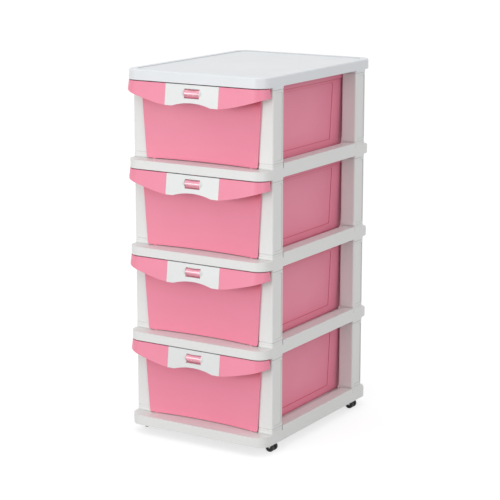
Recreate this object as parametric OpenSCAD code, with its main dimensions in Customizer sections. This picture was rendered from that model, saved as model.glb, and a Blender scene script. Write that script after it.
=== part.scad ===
/* [Tower] */
// Number of drawers in the stack
tiers = 4; // [2:1:4]
// Width over the side rails of a frame
tower_w = 350; // [330:2:420]
// Depth of a frame, front to back
tower_d = 468; // [440:2:520]
// Height from the lower edge of one frame to the lower edge of the next
tier_h = 190; // [170:1:240]
// Radius of a frame's vertical corners
corner_r = 30; // [24:1:32]
// Height of the lowest frame's lower edge above the floor
floor_gap = 24; // [24:0.5:27]
// Wall thickness of the frames, the posts and the lid
skin = 2.5; // [2:0.1:3]

/* [Frames] */
// Height of a frame's deck, on which a drawer slides
deck_h = 19; // [17:0.5:20]
// Distance the lowest frame's skirt reaches further down than the others'
base_drop = 3; // [0:0.5:3.5]
// Height of the raised rail along each side of a frame
rail_h = 29; // [26:0.5:30]
// Width of that rail
rail_w = 27; // [20:0.5:30]
// Width of the deck in front of and behind the well
ledge_w = 50; // [46:1:60]
// Width of the deck along each side of the well, rail included
side_ledge_w = 57; // [52:1:62]
// Radius of the well's corners
well_r = 14; // [8:1:20]
// Thickness of the ribs under the decks and the lid
rib_t = 1.6; // [1.2:0.1:2]
// Spacing of the ribs under a deck
rib_pitch = 36; // [30:1:38]

/* [Collars and posts] */
// Width of a post, across the tower
post_w = 37; // [33:0.5:40]
// Depth of a post, front to back
post_d = 43.5; // [38:0.5:48]
// Distance of a post's outer face from the frame's front or rear edge
post_inset = 34.5; // [32:0.5:38]
// Radius of a post's vertical edges
post_edge_r = 4; // [2:0.5:5]
// Height of a collar's top above the frame's lower edge
collar_h = 30.5; // [30:0.5:34]
// Height of a collar's narrower top
collar_neck_h = 4.5; // [3:0.5:6]
// Distance a collar reaches below the frame
collar_drop = 5.5; // [3:0.5:8]
// Depth of a collar's socket
socket_depth = 16; // [12:0.5:16]
// Free play between a tenon and its socket, on each side
socket_play = 0.2; // [0.1:0.05:0.4]
// Step between a collar's outer face and the post's
seam_step = 0.4; // [0.2:0.1:0.8]
// Height of the groove at each end of a post
seam_h = 1.5; // [1:0.1:2]
// Depth of that groove
seam_sink = 1.2; // [0.5:0.1:1.5]
// Width of the plain border round a post's recessed outer face
panel_border = 6; // [5:0.5:9]
// Depth of the recess in a post's outer face
panel_sink = 1; // [0.5:0.1:1.2]
// Radius of that recess's corners
panel_r = 5; // [2:0.5:6]
// Gap between the end of a tenon and the bottom of its socket
tenon_gap = 1; // [0.5:0.1:2]

/* [Lid] */
// Height of the lid
lid_h = 22; // [20:0.5:28]
// Bevel round the lid's top edge
lid_bevel = 2; // [1:0.5:3]
// Width of the rim round the lid's tray
lid_rim_w = 15; // [10:1:24]
// Depth of the lid's tray
lid_sink = 1.5; // [1:0.1:2]
// Distance of the lid's ribs above its lower edge
lid_rib_lift = 2; // [1:0.5:6]

/* [Drawer] */
// Wall thickness of a drawer
tub_t = 2.2; // [1.8:0.1:2.6]
// Inward lean of a drawer's side and rear walls, from rim to floor
tub_lean = 8; // [5:0.5:9]
// Radius of a drawer's corners at the floor
tub_r = 6; // [4:1:12]
// Distance of a drawer's rear wall from the frame's rear edge, at the rim
tub_back_gap = 43; // [40:1:60]
// Distance of a drawer's rear lip from the frame's rear edge
rim_back_gap = 30; // [24:1:36]
// Gap between a drawer's rim and the post beside it
run_gap = 0.7; // [0.5:0.1:1.2]
// Gap between a drawer's runners and the deck
slide_gap = 0.3; // [0.2:0.05:0.5]
// Gap between a drawer's top and the frame above
top_gap = 2; // [1.5:0.1:3]
// Height of a drawer's runners
runner_h = 3.7; // [3:0.1:5]
// Width of a drawer's runners
runner_w = 6; // [4:0.5:8]
// Distance of a runner's middle from the edge of the well
runner_inset = 4; // [3:0.5:5]
// Distance a drawer's rim stands proud of its wall
rim_proud = 2.3; // [1.5:0.1:3]
// Height of a drawer's rim
rim_h = 15.5; // [12:0.5:18]
// Depth of the recess in a drawer's side walls
side_sink = 0.8; // [0.4:0.1:1]
// Length of the recess in a drawer's side walls
side_recess_l = 246; // [200:2:270]
// Radius of a side recess's corners
side_recess_r = 5; // [2:0.5:10]
// Height of the plain border below a side recess
side_border = 15; // [12:1:22]
// Height of the plain border between a side recess and the rim
side_top_border = 6.5; // [4:0.5:12]

/* [Front and handle] */
// Depth of the front panel's hollow curve
front_hollow = 14; // [8:0.5:18]
// Distance of the panel's side edges in front of the posts
front_stand = 5.2; // [4:0.1:8]
// Gap between the back of the panel's edges and the posts
front_gap = 0.5; // [0.4:0.1:1]
// Overlap of the panel's upper corners over the posts
front_lap = 12.2; // [8:0.1:14]
// Narrowing of each side of the panel, from top to bottom
front_lean = 10.7; // [6:0.1:11]
// Gap between the panel's lower edge and the deck
front_lift = 1.5; // [1:0.1:3]
// Radius of the panel's lower corners
front_corner_r = 5; // [3:0.5:8]
// Distance of the handle in front of the frames
hood_proud = 0.5; // [0:0.1:2]
// Forward lean of the handle's face for each millimetre down
hood_slope = 0.12; // [0.05:0.01:0.16]
// Wall thickness of the handle
hood_t = 2.5; // [2:0.1:2.8]
// Gap between the handle's ends and the posts
hood_end_gap = 12; // [8:0.5:16]
// Depth of the handle at its ends, below the frame's lower edge
hood_end_drop = 21; // [18:0.5:26]
// Depth of the handle at the grip plate
hood_mid_drop = 47; // [44:0.5:52]
// Power of the curve by which the lower edge rises from the grip plate to the ends
hood_rise_power = 1.35; // [1.1:0.05:2]
// Half width of the grip plate
plate_half = 66; // [60:1:74]
// Depth of the grip plate's turned-back top edge
plate_return = 8; // [6:0.5:10]
// Free play round the grip plate
plate_play = 0.15; // [0.1:0.05:0.3]
// Reach of the grip plate's tabs behind the handle
plate_tab = 5; // [3:0.5:8]
// Distance of those tabs from the handle's top and lower edge
tab_margin = 4; // [3:0.5:8]
// Height of the finger curve in the grip plate's lower edge
finger_rise = 7.5; // [5:0.5:9]
// Half width of the finger curve
finger_half = 48; // [44:1:56]

/* [Latch] */
// Depth of the latch's axis below the frame's lower edge
latch_drop = 20.2; // [19.5:0.1:21]
// Distance of the latch's axis behind the grip plate's face
latch_back = 8; // [7.5:0.1:8.5]
// Radius of the latch's barrel
barrel_r = 9.5; // [8.5:0.1:9.5]
// Play between the barrel's ends and its cheeks
barrel_play = 0.5; // [0.3:0.1:1]
// Width of the window in the grip plate
window_w = 37.5; // [34:0.5:40]
// Height of the window in the grip plate
window_h = 20; // [20:0.1:21]
// Radius of the latch's pivots
pivot_r = 2.5; // [2:0.1:3]
// Radial running clearance of pivots, axles and stems
run_fit = 0.05; // [0.02:0.01:0.1]
// Half length of the swelling round the window
boss_half = 41; // [38:1:46]
// Half height of the swelling round the window
boss_rise = 15; // [14:0.5:16]
// Distance the swelling stands proud of the grip plate
boss_proud = 5; // [4:0.5:5.5]
// Length of the latch's tongue from its axis
tongue_len = 25; // [24:0.5:26]
// Width of the latch's tongue
tongue_w = 10; // [8:0.5:12]
// Thickness of the latch's tongue
tongue_t = 3; // [2.5:0.1:3.5]
// Gap on each side of the tongue in its slot
slot_gap = 2; // [1:0.5:3]
// Angle of the tongue from upright, with the latch open
tongue_rest = 52; // [50:1:56]

/* [Casters] */
// Radius of a caster's wheels
wheel_r = 10; // [9:0.5:10.5]
// Width of one wheel
wheel_w = 7; // [5:0.5:8]
// Distance of the wheels' axle from the swivel axis
trail = 9; // [9:0.5:11]
// Distance of a caster's swivel axis from the side of the frame
caster_inset = 24; // [23:0.5:28]
// Radius of a caster's hood
hood_r = 19; // [18:0.5:20]
// Thickness of a caster's hood at its edge
hood_thick = 6.8; // [5:0.1:8]
// Thickness of the web between the wheels
web_t = 5; // [4:0.5:6]
// Gap between a wheel and the web or the hood
wheel_gap = 0.4; // [0.3:0.1:0.8]
// Radius of a caster's stem
stem_r = 4; // [3:0.1:4]
// Depth of the stem's seat in the hood
stem_seat = 4; // [3:0.5:5]
// Radius of a caster's axle
axle_r = 2; // [1.5:0.1:2.5]

/* [Hidden] */
$fn = 96;
bow_fn = 480;
through = 1;
WHITE = [0.93, 0.93, 0.91];
PINK = [0.93, 0.56, 0.65];
BLACK = [0.08, 0.08, 0.09];
STEEL = [0.7, 0.71, 0.73];

half_w = tower_w / 2;
half_d = tower_d / 2;

// Frames
well_w = tower_w - 2 * side_ledge_w;
well_d = tower_d - 2 * ledge_w;
post_in = half_w - post_w;
post_y1 = half_d - post_inset;
post_y0 = post_y1 - post_d;
post_len = tier_h - collar_h - collar_drop;
tenon_len = socket_depth - tenon_gap;

// Drawers, in heights above the lower edge of the frame that carries them
tub_foot = deck_h + slide_gap;
tub_floor = tub_foot + runner_h;
tub_top = tier_h - top_gap;
tub_high = tub_top - tub_floor;
rim_half = post_in - run_gap;
corner_half = rim_half - rim_proud - tub_lean - tub_r;
back_top = half_d - tub_back_gap;
rim_back = half_d - rim_back_gap;
back_corner = back_top - tub_lean - tub_r;
tub_mid_y = (back_corner - half_d) / 2;
tub_half_len = (back_corner + half_d) / 2;
rim_r = tub_r + tub_lean + rim_proud;
runner_x = half_w - side_ledge_w + runner_inset;
recess_low = tub_floor + side_border;
recess_high = tub_top - rim_h - side_top_border;

// The front panel's face is part of an upright cylinder that stands in front of the tower
front_half = post_in + front_lap;
front_edge_y = -post_y1 - front_stand;
front_bow_r = (front_half * front_half + front_hollow * front_hollow) / (2 * front_hollow);
front_bow_y = front_edge_y + front_hollow - front_bow_r;

// Handle
hood_back = -post_y1 - hood_end_gap;
hood_low = tier_h - hood_mid_drop - through;
return_y = -half_d + plate_return;
finger_bow_r = (finger_half * finger_half + finger_rise * finger_rise) / (2 * finger_rise);

// Latch
latch_z = tier_h - latch_drop;
plate_face_y = -half_d - hood_proud - hood_slope * (tub_top - latch_z);
latch_y = plate_face_y + latch_back;
boss_front_y = plate_face_y - boss_proud;
barrel_half = window_w / 2 - barrel_play;
cheek_t = 3.2;
cheek_r = 6;
pivot_gap = 0.3;
slot_half = tongue_w / 2 + slot_gap;
boss_bow_r = (boss_half * boss_half + boss_rise * boss_rise) / (2 * boss_rise);

// The handles stand in front of the frames, so the tower is moved back by half of that
lip_face_y = -half_d - hood_proud - hood_slope * (hood_mid_drop - top_gap);
y_shift = -(min(boss_front_y, lip_face_y) + half_d) / 2;

// Casters
hood_top = floor_gap - slide_gap;
wheel_y = web_t / 2 + wheel_gap + wheel_w / 2;
stem_reach = collar_h - socket_depth - skin;
web_r = 6;
caster_x = half_w - caster_inset;
caster_y = post_y1 - post_d / 2;

CORNERS = ["front_left", "front_right", "rear_left", "rear_right"];
TIERS = [1:tiers];

function frame_z(k) = floor_gap + k * tier_h;
function is_left(corner) = corner == "front_left" || corner == "rear_left";
function is_front(corner) = corner == "front_left" || corner == "front_right";
function arc(cx, cy, r, a0, a1, n = 6) =
    [for (i = [0:n]) let (a = a0 + (a1 - a0) * i / n) [cx + r * cos(a), cy + r * sin(a)]];

// Radius of a drawer's corners at the height z above its floor
function tub_radius(z) = tub_r + tub_lean * z / tub_high;

// Radius of the handle's corners at the height z
function hood_radius(z) = corner_r + hood_proud + hood_slope * (tub_top - z);

// Depth of the handle's lower edge below the frame above, at the distance x from the middle
function hood_drop(x) =
    hood_mid_drop - (hood_mid_drop - hood_end_drop) *
        pow(max(0, abs(x) - plate_half) / (half_w - plate_half), hood_rise_power);

module placed(z = 0) {
    translate([0, y_shift, z])
        children();
}

module both_sides() {
    for (m = [0, 1])
        mirror([m, 0, 0])
            children();
}

module each_corner() {
    for (m = [0, 1], n = [0, 1])
        mirror([m, 0, 0])
            mirror([0, n, 0])
                children();
}

module at_corner(corner) {
    mirror([is_left(corner) ? 1 : 0, 0, 0])
        mirror([0, is_front(corner) ? 1 : 0, 0])
            children();
}

module rounded_rect(w, d, r) {
    square([w - 2 * r, d], center = true);
    square([w, d - 2 * r], center = true);
    for (x = [-1, 1], y = [-1, 1])
        translate([x * (w / 2 - r), y * (d / 2 - r)])
            circle(r);
}

// Upright block with corner centres at cx and cy, whose corner radius runs from r0 below to r1 above
module tapered_block(cx, cy, r0, r1, h) {
    for (x = [-1, 1], y = [-1, 1])
        translate([x * cx, y * cy, 0])
            cylinder(h, r0, r1);
    rotate([90, 0, 0])
        linear_extrude(2 * cy, center = true)
            polygon([[-cx - r0, 0], [cx + r0, 0], [cx + r1, h], [-cx - r1, h]]);
    rotate([90, 0, 90])
        linear_extrude(2 * cx, center = true)
            polygon([[-cy - r0, 0], [cy + r0, 0], [cy + r1, h], [-cy - r1, h]]);
}

// Block over the plan of the post at the rear right, drawn in by inset on every side
module post_block(z0, z1, inset = 0) {
    translate([half_w - post_w / 2, (post_y0 + post_y1) / 2, z0])
        linear_extrude(z1 - z0)
            rounded_rect(post_w - 2 * inset, post_d - 2 * inset, max(0.5, post_edge_r - inset));
}

module collar(drop) {
    post_block(-drop, collar_h - collar_neck_h);
    post_block(0, collar_h, seam_step);
}

module sockets(drop) {
    post_block(collar_h - socket_depth, collar_h + through, skin);
    if (drop > 0)
        post_block(-drop - through, socket_depth - drop, skin);
}

module side_rails() {
    both_sides()
        translate([half_w - rail_w, -post_y0, 0])
            cube([rail_w, 2 * post_y0, rail_h]);
}

module rail_hollows() {
    both_sides()
        translate([half_w - rail_w + skin, -post_y0, deck_h - skin - through])
            cube([rail_w - 2 * skin, 2 * post_y0, rail_h - deck_h + through]);
}

// Ribs across the hollow under a deck; the middle of the front stays free for the latch
module deck_ribs() {
    rib_top = deck_h - skin / 2;
    for (i = [-3:3])
        translate([-half_w + skin / 2, i * rib_pitch - rib_t / 2, 0])
            cube([tower_w - skin, rib_t, rib_top]);
    for (i = [-3, -2, -1, 1, 2, 3])
        translate([i * rib_pitch - rib_t / 2, -half_d + skin / 2, 0])
            cube([rib_t, tower_d - skin, rib_top]);
}

// Open ring with a skirt, a deck, two raised rails and four collars, moulded in one piece
module ring_frame(drop, skirt_drop = 0) {
    difference() {
        union() {
            translate([0, 0, -skirt_drop])
                linear_extrude(deck_h + skirt_drop)
                    rounded_rect(tower_w, tower_d, corner_r);
            side_rails();
            each_corner()
                collar(drop);
        }
        translate([0, 0, -skirt_drop - through])
            linear_extrude(deck_h + skirt_drop + 2 * through)
                rounded_rect(well_w, well_d, well_r);
        difference() {
            translate([0, 0, -skirt_drop - through])
                linear_extrude(deck_h - skin + skirt_drop + through)
                    rounded_rect(tower_w - 2 * skin, tower_d - 2 * skin, corner_r - skin);
            translate([0, 0, -skirt_drop - 2 * through])
                linear_extrude(deck_h + skirt_drop + 2 * through)
                    rounded_rect(well_w + 2 * skin, well_d + 2 * skin, well_r + skin);
            each_corner()
                collar(drop);
            deck_ribs();
        }
        rail_hollows();
        each_corner()
            sockets(drop);
    }
}

module base_frame() {
    placed(frame_z(0)) color(WHITE)
        difference() {
            ring_frame(0, base_drop);
            each_corner()
                translate([caster_x, caster_y, -through])
                    cylinder(stem_reach + tenon_gap / 2 + through, r = stem_r + run_fit);
        }
}

module shelf_frame(k) {
    placed(frame_z(k)) color(WHITE)
        ring_frame(collar_drop);
}

module lid() {
    plate_under = lid_h - lid_sink - skin;
    placed(frame_z(tiers)) color(WHITE)
        difference() {
            union() {
                linear_extrude(lid_h - lid_bevel)
                    rounded_rect(tower_w, tower_d, corner_r);
                translate([0, 0, lid_h - lid_bevel])
                    tapered_block(
                        half_w - corner_r, half_d - corner_r, corner_r, corner_r - lid_bevel, lid_bevel
                    );
                each_corner()
                    post_block(-collar_drop, plate_under);
            }
            translate([0, 0, lid_h - lid_sink])
                linear_extrude(lid_sink + through)
                    rounded_rect(tower_w - 2 * lid_rim_w, tower_d - 2 * lid_rim_w, corner_r - lid_rim_w / 2);
            difference() {
                translate([0, 0, -through])
                    linear_extrude(plate_under + through)
                        rounded_rect(tower_w - 2 * skin, tower_d - 2 * skin, corner_r - skin);
                each_corner()
                    post_block(-collar_drop, lid_h);
                for (i = [-2:2])
                    translate([-half_w + skin / 2, i * 2 * rib_pitch - rib_t / 2, lid_rib_lift])
                        cube([tower_w - skin, rib_t, lid_h]);
                for (i = [-1, 1])
                    translate([i * 2 * rib_pitch - rib_t / 2, -half_d + skin / 2, lid_rib_lift])
                        cube([rib_t, tower_d - skin, lid_h]);
            }
            each_corner()
                post_block(-collar_drop - through, socket_depth - collar_drop, skin);
        }
}

// Hollow tenon of a post, between two heights
module tenon(z0, z1) {
    difference() {
        post_block(z0, z1, skin + socket_play);
        post_block(z0 - through, z1 + through, 2 * skin + socket_play);
    }
}

// Recess with round corners in the outer face of a post
module post_recess() {
    translate([half_w - seam_step - panel_sink, (post_y0 + post_y1) / 2, post_len / 2])
        rotate([90, 0, 90])
            linear_extrude(seam_step + panel_sink + through)
                rounded_rect(post_d - 2 * panel_border, post_len - 2 * panel_border, panel_r);
}

// Channel that is open towards the drawer, with cross ribs and a hollow tenon at each end
module post(corner, k) {
    wall = seam_step + skin;
    placed(frame_z(k - 1) + collar_h) color(WHITE)
        at_corner(corner) {
            difference() {
                union() {
                    post_block(seam_h, post_len - seam_h, seam_step);
                    post_block(0, post_len, seam_step + seam_sink);
                }
                post_recess();
                translate([post_in - through, post_y0 + wall, skin])
                    cube([post_w + through - wall - panel_sink, post_d - 2 * wall, post_len - 2 * skin]);
                post_block(-through, post_len + through, 2 * skin + socket_play);
            }
            for (i = [1:3])
                difference() {
                    post_block(i * post_len / 4 - rib_t / 2, i * post_len / 4 + rib_t / 2, seam_step + skin / 2);
                    post_block(0, post_len, post_w / 3);
                }
            tenon(-tenon_len, skin / 2);
            tenon(post_len - skin / 2, post_len + tenon_len);
        }
}

// Everything in front of the panel's face, moved back by offset_r
module in_front(offset_r = 0) {
    translate([0, front_bow_y, -through])
        cylinder(tier_h + 2 * through, r = front_bow_r + offset_r, $fn = bow_fn);
}

// Block over the front panel's outline, between two depths, drawn in by inset
module front_block(inset, y0, y1) {
    top = front_half - inset;
    foot = top - front_lean;
    r = front_corner_r - inset;
    low = deck_h + front_lift + inset;
    translate([0, y1, 0])
        rotate([90, 0, 0])
            linear_extrude(y1 - y0)
                polygon(concat(
                    [[-top, tub_top - inset], [top, tub_top - inset]],
                    arc(foot - r, low + r, r, 0, -90),
                    arc(-foot + r, low + r, r, -90, -180)
                ));
}

// Hollow-curved front plate, with a shallow turned-back edge that ends just before the posts
module front_panel() {
    edge_back = -post_y1 - front_gap;
    difference() {
        union() {
            intersection() {
                front_block(0, -half_d, 0);
                in_front(tub_t);
            }
            difference() {
                front_block(0, -half_d, edge_back);
                front_block(tub_t, -half_d - through, edge_back + through);
            }
        }
        in_front();
    }
}

module tub_block(z0, z1, inset) {
    translate([0, tub_mid_y, tub_floor + z0])
        tapered_block(corner_half, tub_half_len, tub_radius(z0) - inset, tub_radius(z1) - inset, z1 - z0);
}

module rim_block(z0, z1, inset, back) {
    front = -half_d - 2 * rim_r;
    translate([0, (front + back) / 2, z0])
        linear_extrude(z1 - z0)
            rounded_rect(2 * (rim_half - inset), back - front, rim_r - inset);
}

module runners() {
    both_sides()
        translate([runner_x - runner_w / 2, front_edge_y, tub_foot])
            cube([runner_w, back_corner - front_edge_y, runner_h + tub_t / 2]);
}

// Space inside the drawer, with a step outward under the rim
module tub_inside() {
    difference() {
        union() {
            tub_block(tub_t, tub_high + through, tub_t);
            rim_block(tub_top - rim_h + tub_t, tub_top + through, tub_t, back_top - tub_t);
        }
        in_front(tub_t);
    }
}

// Hollow under the lip that hangs behind the rear wall
module lip_hollow() {
    intersection() {
        rim_block(tub_top - rim_h - through, tub_top - tub_t, tub_t, rim_back - tub_t);
        translate([-half_w, back_top, 0])
            cube([tower_w, tower_d, tier_h]);
    }
}

module side_recess() {
    difference() {
        translate([0, 0, (recess_low + recess_high) / 2])
            rotate([90, 0, 90])
                linear_extrude(tower_w, center = true)
                    rounded_rect(side_recess_l, recess_high - recess_low, side_recess_r);
        tub_block(0, tub_high, side_sink);
    }
}

// Block under the handle's outer surface, which follows the frame's corners and leans outward
module hood_block(z0, z1, inset) {
    reach = 2 * corner_r;
    translate([0, -half_d + corner_r + reach, z0])
        tapered_block(half_w - corner_r, reach, hood_radius(z0) - inset, hood_radius(z1) - inset, z1 - z0);
}

// Wall and top of the handle, open below and behind
module hood_shell() {
    difference() {
        hood_block(hood_low, tub_top, 0);
        hood_block(hood_low - through, tub_top - hood_t, hood_t);
        difference() {
            translate([-tower_w, hood_back, 0])
                cube([2 * tower_w, tower_d, tier_h]);
            in_front(tub_t);
        }
    }
}

// Room below the handle's lower edge, which rises towards the handle's ends
module below_handle() {
    steps = 24;
    half = half_w + hood_proud + hood_slope * hood_mid_drop + through;
    edge = [for (i = [-steps:steps]) [half * i / steps, tier_h - hood_drop(half * i / steps)]];
    translate([0, hood_back + through, 0])
        rotate([90, 0, 0])
            linear_extrude(2 * corner_r)
                polygon(concat(edge, [[half, 0], [-half, 0]]));
}

module plate_zone(play) {
    half = plate_half + play;
    translate([-half, -half_d - 2 * corner_r, 0])
        cube([2 * half, 2 * corner_r + plate_return + play, tier_h]);
}

// Slot in the handle's top through which the latch's tongue turns up
module tongue_slot() {
    translate([-slot_half, latch_y - tongue_t / 2, tub_top - hood_t - through])
        cube([2 * slot_half, tongue_len - tongue_t / 2, hood_t + 2 * through]);
}

module handle() {
    difference() {
        hood_shell();
        below_handle();
        plate_zone(plate_play);
        tongue_slot();
    }
}

// Tub, front and handle are one moulding
module drawer_tub(k) {
    placed(frame_z(k - 1)) color(PINK)
        difference() {
            union() {
                difference() {
                    union() {
                        tub_block(0, tub_high, 0);
                        rim_block(tub_top - rim_h, tub_top, 0, rim_back);
                        runners();
                    }
                    in_front();
                }
                front_panel();
                handle();
            }
            tub_inside();
            lip_hollow();
            side_recess();
        }
}

// Spindle that swells round the window, drawn in by inset
module boss_spindle(inset) {
    translate([0, boss_front_y + boss_rise, latch_z])
        rotate([0, 90, 0])
            rotate_extrude()
                intersection() {
                    translate([boss_rise - boss_bow_r, 0])
                        circle(boss_bow_r - inset);
                    translate([0, -boss_half])
                        square([boss_rise, 2 * boss_half]);
                }
}

// Upright lugs behind the plate, in which the latch's pivots turn
module latch_cheeks() {
    root = 0.3;
    both_sides()
        translate([window_w / 2, 0, 0]) {
            translate([0, latch_y, latch_z])
                rotate([0, 90, 0])
                    cylinder(cheek_t, r = cheek_r);
            translate([0, plate_face_y + root, latch_z - cheek_r])
                cube([cheek_t, latch_back - root, 2 * cheek_r]);
        }
}

// Tabs that lie behind the handle's wall on both sides of the plate
module plate_tabs() {
    tab_low = tier_h - hood_mid_drop + tab_margin;
    tab_top = tub_top - hood_t - tab_margin;
    intersection() {
        difference() {
            hood_block(tab_low, tab_top, hood_t);
            hood_block(tab_low - through, tab_top + through, 2 * hood_t);
        }
        both_sides()
            translate([plate_half - plate_tab, -half_d - corner_r, 0])
                cube([2 * plate_tab, 2 * corner_r, tier_h]);
    }
}

module below_plate() {
    edge_z = tier_h - hood_mid_drop;
    translate([-half_w, -tower_d, 0])
        cube([tower_w, tower_d, edge_z]);
    translate([0, 0, edge_z + finger_rise - finger_bow_r])
        rotate([90, 0, 0])
            cylinder(tower_d, r = finger_bow_r);
}

module window() {
    translate([-window_w / 2, -half_d - corner_r, latch_z - window_h / 2])
        cube([window_w, 2 * corner_r, window_h]);
}

module grip_plate(k) {
    placed(frame_z(k - 1)) color(WHITE)
        difference() {
            union() {
                difference() {
                    union() {
                        intersection() {
                            hood_shell();
                            plate_zone(0);
                        }
                        intersection() {
                            boss_spindle(0);
                            translate([-boss_half, -tower_d, 0])
                                cube([2 * boss_half, tower_d + plate_face_y + hood_t, tier_h]);
                        }
                    }
                    boss_spindle(tub_t);
                    below_plate();
                }
                latch_cheeks();
                plate_tabs();
            }
            window();
            tongue_slot();
            translate([0, latch_y, latch_z])
                rotate([0, 90, 0])
                    cylinder(window_w + 3 * cheek_t, r = pivot_r + run_fit, center = true);
        }
}

// Thumb barrel on two pivots, with a tongue that turns up behind the skirt of the frame above
module latch(k) {
    groove_turn = 20;
    groove_r = 1.3;
    pocket_wall = 2;
    pocket_w = barrel_half - tongue_w / 2 - 2 * pocket_wall;
    placed(frame_z(k - 1)) color(PINK)
        translate([0, latch_y, latch_z]) {
            difference() {
                rotate([0, 90, 0])
                    cylinder(2 * barrel_half, r = barrel_r, center = true);
                rotate([groove_turn, 0, 0])
                    translate([-barrel_half - through, -barrel_r, 0])
                        rotate([0, 90, 0])
                            cylinder(2 * barrel_half + 2 * through, r = groove_r);
                both_sides()
                    translate([tongue_w / 2 + pocket_wall, -barrel_r / 2, -barrel_r / 2])
                        cube([pocket_w, 2 * barrel_r, barrel_r]);
            }
            rotate([0, 90, 0])
                cylinder(window_w + 2 * (cheek_t - pivot_gap), r = pivot_r, center = true);
            rotate([-tongue_rest, 0, 0])
                translate([-tongue_w / 2, -tongue_t / 2, 0])
                    cube([tongue_w, tongue_t, tongue_len]);
        }
}

module at_caster(corner) {
    placed()
        at_corner(corner)
            translate([caster_x, caster_y, 0])
                children();
}

module on_axle() {
    translate([trail, 0, wheel_r])
        rotate([90, 0, 0])
            children();
}

// Round hood with a web between the wheels and a well for each wheel
module caster_hood(corner) {
    edge = 3;
    at_caster(corner) color(BLACK)
        difference() {
            union() {
                translate([0, 0, hood_top - hood_thick])
                    rotate_extrude()
                        polygon(concat(
                            [[0, hood_thick], [0, 0], [hood_r, 0]],
                            arc(hood_r - edge, hood_thick - edge, edge, 0, 90)
                        ));
                on_axle()
                    cylinder(web_t, r = web_r, center = true);
                translate([trail - web_r, -web_t / 2, wheel_r])
                    cube([2 * web_r, web_t, hood_top - edge - wheel_r]);
            }
            for (side = [-1, 1])
                translate([0, side * wheel_y, 0])
                    on_axle()
                        cylinder(wheel_w + 2 * wheel_gap, r = wheel_r + wheel_gap, center = true);
            on_axle()
                cylinder(2 * web_t, r = axle_r + run_fit, center = true);
            translate([0, 0, hood_top - stem_seat])
                cylinder(stem_seat + through, r = stem_r);
        }
}

module caster_stem(corner) {
    tip = 1;
    at_caster(corner) color(STEEL) {
        translate([0, 0, hood_top - stem_seat])
            cylinder(floor_gap + stem_reach - tip - hood_top + stem_seat, r = stem_r);
        translate([0, 0, floor_gap + stem_reach - tip])
            cylinder(tip, stem_r, stem_r - tip);
    }
}

module caster_axle(corner) {
    end_sink = 0.5;
    at_caster(corner) color(STEEL)
        on_axle()
            cylinder(2 * (wheel_y + wheel_w / 2 - end_sink), r = axle_r, center = true);
}

// Wheel with a dished outer face and a bevelled tread, on the side of the caster given by side
module caster_wheel(corner, side) {
    bevel = 0.8;
    dish = 1.2;
    tread_w = 3;
    hub_w = 2;
    at_caster(corner) color(BLACK)
        translate([0, side * wheel_y, 0])
            on_axle()
                mirror([0, 0, side > 0 ? 1 : 0])
                    rotate_extrude()
                        translate([0, -wheel_w / 2])
                            polygon([
                                [axle_r, 0], [wheel_r - bevel, 0], [wheel_r, bevel],
                                [wheel_r, wheel_w - bevel], [wheel_r - bevel, wheel_w],
                                [wheel_r - tread_w, wheel_w], [wheel_r - tread_w - dish, wheel_w - dish],
                                [axle_r + hub_w + dish, wheel_w - dish], [axle_r + hub_w, wheel_w],
                                [axle_r, wheel_w]
                            ]);
}

lid();
base_frame();
for (k = [1:tiers - 1])
    shelf_frame(k);
for (k = TIERS, c = CORNERS)
    post(c, k);
for (k = TIERS)
    drawer_tub(k);
for (k = TIERS)
    grip_plate(k);
for (k = TIERS)
    latch(k);
for (c = CORNERS)
    caster_hood(c);
for (c = CORNERS)
    caster_stem(c);
for (c = CORNERS)
    caster_axle(c);
for (c = CORNERS)
    caster_wheel(c, -1);
for (c = CORNERS)
    caster_wheel(c, 1);
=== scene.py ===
from math import cos, radians, sin

import bpy
from mathutils import Matrix, Vector


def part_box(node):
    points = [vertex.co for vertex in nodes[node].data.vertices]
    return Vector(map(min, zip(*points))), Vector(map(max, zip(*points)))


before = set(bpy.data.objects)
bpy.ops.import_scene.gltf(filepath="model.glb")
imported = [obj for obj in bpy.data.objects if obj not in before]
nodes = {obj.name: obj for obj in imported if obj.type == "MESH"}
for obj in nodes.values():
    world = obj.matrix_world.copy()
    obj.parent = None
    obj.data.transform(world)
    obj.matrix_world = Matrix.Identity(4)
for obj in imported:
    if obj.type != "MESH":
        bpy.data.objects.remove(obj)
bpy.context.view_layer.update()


# ---- Camera -------------------------------------------------------------------------------------
# A long lens about 3.9 m away, higher than the lid and well to the right of the front.
# Its angles and distance come from the tower's own edges in the photograph.
view_azimuth = radians(31.79)
view_elevation = radians(12.57)
view_distance = 3.856
focal_pixels = 1692.8
image_pixels = 500
aim_right, aim_up = -0.0038, 0.3559
# the view is aimed from the middle of the frames, at the lower edge of the base frame
aim_origin = Vector((0, 0.00384, 0.024))

right = Vector((cos(view_azimuth), sin(view_azimuth), 0))
back = Vector((
    sin(view_azimuth) * cos(view_elevation),
    -cos(view_azimuth) * cos(view_elevation),
    sin(view_elevation),
))
up = back.cross(right)
camera = bpy.data.objects.new("camera", bpy.data.cameras.new("camera"))
bpy.context.scene.collection.objects.link(camera)
turn = Matrix((right, up, back)).transposed().to_4x4()
place = aim_origin + right * aim_right + up * aim_up + back * view_distance
camera.matrix_world = Matrix.Translation(place) @ turn
camera.data.lens = camera.data.sensor_width * focal_pixels / image_pixels
bpy.context.scene.camera = camera


# ---- White frames -------------------------------------------------------------------------------
# The ring frames are injection-moulded white polypropylene with a fine satin grain, stacked on posts
# that are pushed into their collars. Their outer edges are well rounded, and the thin steps of the
# collars have only a slight radius.
frame_edge = 0.0016
inner_edge_share = 0.45
collar_edge_share = 0.1
frame_corner_radius = 0.030
# where the collars stand: across from the middle, and front to back from the middle
collar_in, collar_near, collar_far = 0.1375, 0.155, 0.201
# how far from a frame's top and bottom the edges of the collars' steps lie
collar_neck, collar_foot = 0.0053, 0.0045


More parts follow.
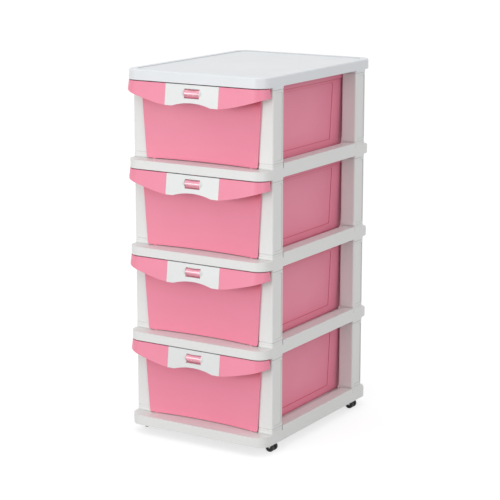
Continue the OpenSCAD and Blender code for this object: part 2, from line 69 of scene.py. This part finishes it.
def new_group(kind, name, inputs, outputs):
    """A node group whose named inputs and outputs are given with their socket types."""
    group = bpy.data.node_groups.new(name, kind)
    for way, sockets in (("INPUT", inputs), ("OUTPUT", outputs)):
        for label, socket_type in sockets.items():
            group.interface.new_socket(label, in_out=way, socket_type=socket_type)
    return group, group.nodes.new("NodeGroupInput"), group.nodes.new("NodeGroupOutput")


def add_node(tree, kind, sockets=None, **properties):
    """A node with its properties, and its sockets set to values or joined to other nodes' outputs."""
    made = tree.nodes.new(kind)
    for label, value in properties.items():
        setattr(made, label, value)
    for label, value in (sockets or {}).items():
        if isinstance(value, bpy.types.NodeSocket):
            tree.links.new(value, made.inputs[label])
        else:
            made.inputs[label].default_value = value
    return made


def build_moulded_grain():
    """Fine spark-eroded grain of a mould, with slow waves where the plastic sank as it cooled."""
    group, entry, leave = new_group(
        "ShaderNodeTree", "moulded_grain",
        {"Grain Scale": "NodeSocketFloat", "Sink Scale": "NodeSocketFloat", "Sink Share": "NodeSocketFloat"},
        {"Height": "NodeSocketFloat", "Gloss Mask": "NodeSocketFloat"},
    )
    place = add_node(group, "ShaderNodeTexCoord").outputs["Object"]
    grain = add_node(group, "ShaderNodeTexNoise", {
        "Vector": place, "Scale": entry.outputs["Grain Scale"], "Detail": 3, "Roughness": 0.6,
    })
    sink = add_node(group, "ShaderNodeTexNoise", {
        "Vector": place, "Scale": entry.outputs["Sink Scale"], "Detail": 1, "Roughness": 0.4,
    })
    height = add_node(group, "ShaderNodeMix", {
        "Factor": entry.outputs["Sink Share"], "A": grain.outputs["Fac"], "B": sink.outputs["Fac"],
    }, data_type="FLOAT")
    group.links.new(height.outputs["Result"], leave.inputs["Height"])
    group.links.new(sink.outputs["Fac"], leave.inputs["Gloss Mask"])
    return group


def build_painted_shade_mask():
    """1 deep in a piece's own creases, which light hardly reaches, and 0 on its open faces; it masks painted
    shade.
    """
    group, entry, leave = new_group(
        "ShaderNodeTree", "painted_shade_mask", {"Reach": "NodeSocketFloat"}, {"Mask": "NodeSocketFloat"}
    )
    open_face, deep_crease = 0.95, 0.45
    open_share = add_node(
        group, "ShaderNodeAmbientOcclusion", {"Distance": entry.outputs["Reach"]}, samples=8, only_local=True
    )
    mask = add_node(group, "ShaderNodeMapRange", {
        "Value": open_share.outputs["AO"], "From Min": open_face, "From Max": deep_crease,
    })
    group.links.new(mask.outputs["Result"], leave.inputs["Mask"])
    return group


moulded_grain = build_moulded_grain()
painted_shade_mask = build_painted_shade_mask()


def plastic(name, colour, shade, painted_crease_shade, gloss, grain_scale=900, bump=0.05, deep_painted_shades=()):
    """Moulded plastic, and its shader.

    Its colour drifts a little towards shade, its roughness from gloss[0] to gloss[1], and painted shade
    darkens it to the crease colour in its own corners and grooves. Each deep painted shade is a wider
    one under that, given as its colour and how far it reaches.
    """
    plastic_ior = 1.49
    sink_scale, sink_share = 14, 0.35
    grain_depth, crease_shade_reach = 0.001, 0.004
    material = bpy.data.materials.new(name)
    material.use_nodes = True
    tree = material.node_tree
    relief = add_node(tree, "ShaderNodeGroup", {
        "Grain Scale": grain_scale, "Sink Scale": sink_scale, "Sink Share": sink_share,
    }, node_tree=moulded_grain)
    raised = add_node(tree, "ShaderNodeBump", {
        "Height": relief.outputs["Height"], "Strength": bump, "Distance": grain_depth,
    })
    tone = add_node(tree, "ShaderNodeMix", {
        "Factor": relief.outputs["Gloss Mask"], "A": (*colour, 1), "B": (*shade, 1),
    }, data_type="RGBA")
    shown = tone.outputs["Result"]
    # painted shade: each mask darkens the colour in the piece's own hollows, where its shape keeps light out
    for painted_dark, reach in (*deep_painted_shades, (painted_crease_shade, crease_shade_reach)):
        shade_mask_node = add_node(tree, "ShaderNodeGroup", {"Reach": reach}, node_tree=painted_shade_mask)
        shaded = add_node(tree, "ShaderNodeMix", {
            "Factor": shade_mask_node.outputs["Mask"], "A": shown, "B": (*painted_dark, 1),
        }, data_type="RGBA")
        shown = shaded.outputs["Result"]
    sheen = add_node(tree, "ShaderNodeMapRange", {
        "Value": relief.outputs["Gloss Mask"], "To Min": gloss[0], "To Max": gloss[1],
    })
    shader = tree.nodes["Principled BSDF"]
    shader.inputs["IOR"].default_value = plastic_ior
    tree.links.new(shown, shader.inputs["Base Color"])
    tree.links.new(sheen.outputs["Result"], shader.inputs["Roughness"])
    tree.links.new(raised.outputs["Normal"], shader.inputs["Normal"])
    return material, shader


def add_math(tree, operation, *values, kind="ShaderNodeMath"):
    """The result of a math node on numbers and other nodes' outputs."""
    return add_node(tree, kind, dict(enumerate(values)), operation=operation).outputs[0]


def add_vector_math(tree, operation, *values):
    """The same on vectors."""
    return add_math(tree, operation, *values, kind="ShaderNodeVectorMath")


def past_box(group, entry, place):
    """How far a place lies outside the given box along each axis, below 0 inside it."""
    offset = add_vector_math(group, "SUBTRACT", place, entry.outputs["Middle"])
    distance = add_vector_math(group, "ABSOLUTE", offset)
    excess = add_vector_math(group, "SUBTRACT", distance, entry.outputs["Half Size"])
    return add_node(group, "ShaderNodeSeparateXYZ", {"Vector": excess}).outputs


def build_inside_box():
    """1 for edges in a box given by its middle and half size, and in its mirror image left to right."""
    group, entry, leave = new_group(
        "GeometryNodeTree", "inside_box",
        {"Middle": "NodeSocketVector", "Half Size": "NodeSocketVector"},
        {"Inside": "NodeSocketFloat"},
    )
    place = add_node(group, "GeometryNodeInputPosition").outputs[0]
    parts = add_node(group, "ShaderNodeSeparateXYZ", {"Vector": place}).outputs
    one_side = add_node(group, "ShaderNodeCombineXYZ", {
        "X": add_math(group, "ABSOLUTE", parts["X"]), "Y": parts["Y"], "Z": parts["Z"],
    })
    over = past_box(group, entry, one_side.outputs[0])
    most = add_math(group, "MAXIMUM", add_math(group, "MAXIMUM", over["X"], over["Y"]), over["Z"])
    group.links.new(add_math(group, "LESS_THAN", most, 0), leave.inputs[0])
    return group


def build_near_outline():
    """1 for edges that lie on the outline of an upright block with round corners, seen from above."""
    group, entry, leave = new_group(
        "GeometryNodeTree", "near_outline",
        {"Middle": "NodeSocketVector", "Half Size": "NodeSocketVector", "Corner Radius": "NodeSocketFloat"},
        {"Near": "NodeSocketFloat"},
    )
    tolerance = 0.00025
    radius = entry.outputs["Corner Radius"]
    over = past_box(group, entry, add_node(group, "GeometryNodeInputPosition").outputs[0])
    squares = []
    for axis in ("X", "Y"):
        from_centre = add_math(group, "MAXIMUM", add_math(group, "ADD", over[axis], radius), 0)
        squares.append(add_math(group, "MULTIPLY", from_centre, from_centre))
    length = add_math(group, "SQRT", add_math(group, "ADD", *squares))
    past_outline = add_math(group, "ABSOLUTE", add_math(group, "SUBTRACT", length, radius))
    group.links.new(add_math(group, "LESS_THAN", past_outline, tolerance), leave.inputs[0])
    return group


inside_box = build_inside_box()
near_outline = build_near_outline()
sharp_angle = radians(38)


def new_shape_tree(name):
    """A modifier's tree, which takes in a shape and puts one out."""
    shape = {"Geometry": "NodeSocketGeometry"}
    return new_group("GeometryNodeTree", name, shape, shape)


def mark_edges(name, plain_share, zones):
    """A modifier's tree that says how round each sharp outer edge gets, from 0 to 1 of the bevel.

    zones are (group, its inputs, share) in order; a later zone goes over an earlier one.
    """
    tree, entry, leave = new_shape_tree(name)
    share = plain_share
    for group, values, zone_share in zones:
        zone = add_node(tree, "GeometryNodeGroup", values, node_tree=group)
        blend = add_node(tree, "ShaderNodeMix", {
            "Factor": zone.outputs[0], "A": share, "B": zone_share,
        }, data_type="FLOAT")
        share = blend.outputs["Result"]
    angle = add_node(tree, "GeometryNodeInputMeshEdgeAngle").outputs["Signed Angle"]
    sharp = add_math(tree, "GREATER_THAN", angle, sharp_angle)
    store = add_node(tree, "GeometryNodeStoreNamedAttribute", {
        "Geometry": entry.outputs[0],
        "Name": "bevel_weight_edge",
        "Value": add_math(tree, "MULTIPLY", share, sharp),
    }, data_type="FLOAT", domain="EDGE")
    tree.links.new(store.outputs[0], leave.inputs[0])
    return tree


def finish_node(name, material, edge, marks=None):
    """Gives a carried-over node its material and the round edges of its mould, as marks says."""
    level_angle, edge_segments = radians(0.6), 3
    piece = nodes[name]
    piece.data.materials.clear()
    piece.data.materials.append(material)
    if edge:
        flat = piece.modifiers.new("flat_faces", "DECIMATE")
        flat.decimate_type = "DISSOLVE"
        flat.angle_limit = level_angle
        if marks:
            piece.modifiers.new("edge_marks", "NODES").node_group = marks
        round_edge = piece.modifiers.new("moulded_edge", "BEVEL")
        round_edge.width = edge
        round_edge.segments = edge_segments
        round_edge.limit_method = "WEIGHT" if marks else "ANGLE"
        round_edge.angle_limit = sharp_angle
        piece.modifiers.new("even_shading", "WEIGHTED_NORMAL").keep_sharp = True


def outline_of(low, high):
    """The inputs of near_outline for a moulding with the frames' round corners."""
    return {"Middle": (low + high) / 2, "Half Size": (high - low) / 2, "Corner Radius": frame_corner_radius}


# the third colour of each plastic below is the painted shade in its own corners and grooves
white_plastic, _ = plastic(
    "white_polypropylene", (0.775, 0.78, 0.765), (0.75, 0.76, 0.75), (0.56, 0.57, 0.56), (0.34, 0.46)
)
for name in ("base_frame", "shelf_frame_1", "shelf_frame_2", "shelf_frame_3"):
    low, high = (Vector(c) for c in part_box(name))
    middle = (low + high) / 2
    zones = [(near_outline, outline_of(low, high), 1)]
    steps = [(high.z, collar_neck)]
    if name != "base_frame":
        steps.append((low.z, collar_foot))
    for side in (-1, 1):
        collar_y = middle.y + side * (collar_near + collar_far) / 2
        for z, reach in steps:
            collar = {
                "Middle": ((high.x + collar_in) / 2, collar_y, z),
                "Half Size": (high.x - collar_in, (collar_far - collar_near) / 2, reach),
            }
            zones.append((inside_box, collar, collar_edge_share))
    finish_node(name, white_plastic, frame_edge, mark_edges(f"{name}_edges", inner_edge_share, zones))


# ---- Posts --------------------------------------------------------------------------------------
# White channels of the same plastic, open towards the drawers. Their hollow tenons are pushed into
# the collars below, and into those of the frame or the lid above.
tiers = range(1, 5)
corners = ("front_left", "front_right", "rear_left", "rear_right")
post_edge = 0.00035
for tier in tiers:
    for corner in corners:
        finish_node(f"post_{corner}_{tier}", white_plastic, post_edge)


# ---- Lid ----------------------------------------------------------------------------------------
# One white polypropylene moulding with a rounded rim round a shallow tray. Four sockets under it
# are pressed over the top tenons of the upper posts.
lid_edge, tray_edge_share = 0.0013, 0.5
lid_plastic, _ = plastic(
    "white_lid_polypropylene", (0.76, 0.78, 0.80), (0.735, 0.76, 0.785), (0.60, 0.62, 0.64), (0.30, 0.42)
)
lid_low, lid_high = (Vector(c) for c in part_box("lid"))
lid_marks = mark_edges("lid_edges", tray_edge_share, [(near_outline, outline_of(lid_low, lid_high), 1)])
finish_node("lid", lid_plastic, lid_edge, lid_marks)


# ---- Drawers ------------------------------------------------------------------------------------
# Tub, hollow-curved front and hooded handle are one pink polypropylene moulding. It slides on two
# runners that lie on the frame's deck.
front_edge, tub_edge_share = 0.001, 0.4
front_depth = 0.052
# where flash hangs at a handle's ends: behind the drawer's foremost point, in from its side, and up
# from its lowest edge
flash_near, flash_far = 0.0284, 0.0325
flash_in = 0.0087
flash_low, flash_high = 0.1207, 0.1693
# painted shade: in the deep angle under the handle the panel is painted a deeper red for the shade there,
# where what light reaches it comes off pink plastic
painted_shade_under_handle, under_handle_shade_reach = (0.69, 0.075, 0.115), 0.046
pink_plastic, pink_shader = plastic(
    "pink_polypropylene", (0.865, 0.28, 0.39), (0.84, 0.26, 0.37), (0.56, 0.09, 0.15), (0.32, 0.44),
    deep_painted_shades=[(painted_shade_under_handle, under_handle_shade_reach)],
)
pink_shader.inputs["Specular IOR Level"].default_value = 0.3


def build_flash_trim(name, low, high):
    """A modifier's tree that cuts the thin flash off both ends of a handle, so that they end flat."""
    tree, entry, leave = new_shape_tree(name)
    cut = add_node(
        tree, "GeometryNodeMeshBoolean", {"Mesh 1": entry.outputs[0]}, operation="DIFFERENCE", solver="EXACT"
    )
    size = (flash_in + front_edge, flash_far - flash_near, flash_high - flash_low)
    for side in (-1, 1):
        block = add_node(tree, "GeometryNodeMeshCube", {"Size": size})
        placed = add_node(tree, "GeometryNodeTransform", {
            "Geometry": block.outputs["Mesh"],
            "Translation": (
                side * (high.x + (front_edge - flash_in) / 2),
                low.y + (flash_near + flash_far) / 2,
                low.z + (flash_low + flash_high) / 2,
            ),
        })
        tree.links.new(placed.outputs[0], cut.inputs["Mesh 2"])
    tree.links.new(cut.outputs["Mesh"], leave.inputs[0])
    return tree


for tier in tiers:
    name = f"drawer_tub_{tier}"
    low, high = (Vector(c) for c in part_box(name))
    trim = nodes[name].modifiers.new("flash_trim", "NODES")
    trim.node_group = build_flash_trim(f"{name}_trim", low, high)
    front = {
        "Middle": (0, low.y + front_depth / 2, (low.z + high.z) / 2),
        "Half Size": (high.x + front_edge, front_depth / 2 + front_edge, high.z - low.z),
    }
    marks = mark_edges(f"{name}_edges", tub_edge_share, [(inside_box, front, 1)])
    finish_node(name, pink_plastic, front_edge, marks)


# ---- Grip plates --------------------------------------------------------------------------------
# A plate of smoother white plastic snaps into the middle of each handle. It has a finger curve
# below and, in a swelling, a window through which the latch's barrel shows.
plate_edge = 0.0005
grip_plastic, _ = plastic(
    "white_grip_plastic", (0.71, 0.72, 0.715), (0.69, 0.705, 0.70), (0.42, 0.43, 0.42), (0.2, 0.3),
    bump=0.02,
)
for tier in tiers:
    finish_node(f"grip_plate_{tier}", grip_plastic, plate_edge)


# ---- Latches ------------------------------------------------------------------------------------
# A barrel of glossy pink plastic turns on two pivots, in lugs behind the grip plate. A thumb turns
# it, and its tongue rises behind the skirt of the frame or the lid above.
latch_edge = 0.0004
latch_plastic, latch_shader = plastic(
    "pink_latch_plastic", (0.86, 0.30, 0.40), (0.83, 0.28, 0.38), (0.3, 0.03, 0.05), (0.16, 0.24),
    bump=0.01,
)
latch_shader.inputs["Specular IOR Level"].default_value = 1
latch_shader.inputs["Coat Weight"].default_value = 1
latch_shader.inputs["Coat IOR"].default_value = 1.8
latch_shader.inputs["Coat Roughness"].default_value = 0.12
for tier in tiers:
    finish_node(f"latch_{tier}", latch_plastic, latch_edge)


# ---- Casters ------------------------------------------------------------------------------------
# Black nylon twin-wheel casters. A zinc-plated stem is pressed into each hood and turns in the base
# frame, and two wheels run on a zinc-plated axle through the hood's web.
hood_edge, wheel_edge, no_edge = 0.0004, 0.0002, 0
black_nylon, _ = plastic(
    "black_nylon", (0.012, 0.012, 0.013), (0.018, 0.018, 0.02), (0.004, 0.004, 0.004), (0.35, 0.5)
)
wheel_nylon, _ = plastic(
    "black_wheel_nylon", (0.016, 0.016, 0.017), (0.024, 0.024, 0.026), (0.004, 0.004, 0.004), (0.5, 0.7)
)
# the plating has the same kind of grain, only finer, but as a metal
zinc_steel, zinc_shader = plastic(
    "zinc_plated_steel", (0.56, 0.57, 0.59), (0.48, 0.49, 0.51), (0.2, 0.2, 0.21), (0.25, 0.4),
    grain_scale=2500,
)
zinc_shader.inputs["Metallic"].default_value = 1
for corner in corners:
    finish_node(f"caster_hood_{corner}", black_nylon, hood_edge)
    finish_node(f"caster_stem_{corner}", zinc_steel, no_edge)
    finish_node(f"caster_axle_{corner}", zinc_steel, no_edge)
    finish_node(f"inner_wheel_{corner}", wheel_nylon, wheel_edge)
    finish_node(f"outer_wheel_{corner}", wheel_nylon, wheel_edge)


# ---- Floor and light ----------------------------------------------------------------------------
# A wide white floor that keeps the tower's soft shadow, a large soft light on the left in front,
# weaker ones on the right and above, and an even white room.
def seen_directly(tree):
    """1 for rays from the camera, or off gloss or through glass, and 0 for the rest."""
    path = add_node(tree, "ShaderNodeLightPath").outputs
    seen = add_math(tree, "MAXIMUM", path["Is Camera Ray"], path["Is Glossy Ray"])
    return add_math(tree, "MAXIMUM", seen, path["Is Transmission Ray"])


def floor_paint():
    """Grey matt paint that glows only where it is seen, so that it looks white and keeps shadows."""
    paint_grey, glow_grey = (0.42, 0.42, 0.42, 1), (0.7, 0.7, 0.7, 1)
    material = bpy.data.materials.new("floor_paint")
    material.use_nodes = True
    tree = material.node_tree
    tree.nodes.clear()
    matt = add_node(tree, "ShaderNodeBsdfDiffuse", {"Color": paint_grey})
    glow = add_node(tree, "ShaderNodeEmission", {"Color": glow_grey, "Strength": seen_directly(tree)})
    both = add_node(tree, "ShaderNodeAddShader", {0: matt.outputs[0], 1: glow.outputs[0]})
    add_node(tree, "ShaderNodeOutputMaterial", {"Surface": both.outputs[0]})
    return material


floor_half = 40
floor_mesh = bpy.data.meshes.new("floor")
floor_mesh.from_pydata(
    [(x * floor_half, y * floor_half, 0) for x, y in ((-1, -1), (1, -1), (1, 1), (-1, 1))],
    [], [(0, 1, 2, 3)],
)
floor_mesh.materials.append(floor_paint())
floor = bpy.data.objects.new("floor", floor_mesh)
bpy.context.scene.collection.objects.link(floor)

room = bpy.data.worlds.new("room")
bpy.context.scene.world = room
room.use_nodes = True
room_level, seen_level = 0.77, 1
brightness = add_node(room.node_tree, "ShaderNodeMapRange", {
    "Value": seen_directly(room.node_tree), "To Min": room_level, "To Max": seen_level,
})
walls = room.node_tree.nodes["Background"]
walls.inputs["Color"].default_value = (1, 1, 1, 1)
room.node_tree.links.new(brightness.outputs["Result"], walls.inputs["Strength"])


def soft_light(name, place, size, power):
    """A round lamp, size metres across, that points at the middle of the tower."""
    tower_middle = Vector((0, 0, 0.4))
    lamp = bpy.data.lights.new(name, "AREA")
    lamp.shape = "DISK"
    lamp.size = size
    lamp.energy = power
    light = bpy.data.objects.new(name, lamp)
    light.location = place
    light.rotation_euler = (tower_middle - Vector(place)).to_track_quat("-Z", "Y").to_euler()
    bpy.context.scene.collection.objects.link(light)


soft_light("front_light", (-1.5, -4.3, 0.8), size=2.6, power=70)
soft_light("side_light", (3.1, -2.0, 1.2), size=2.2, power=24)
soft_light("top_light", (-0.6, -0.8, 3.4), size=2.4, power=12)

bpy.context.scene.view_settings.view_transform = "Standard"
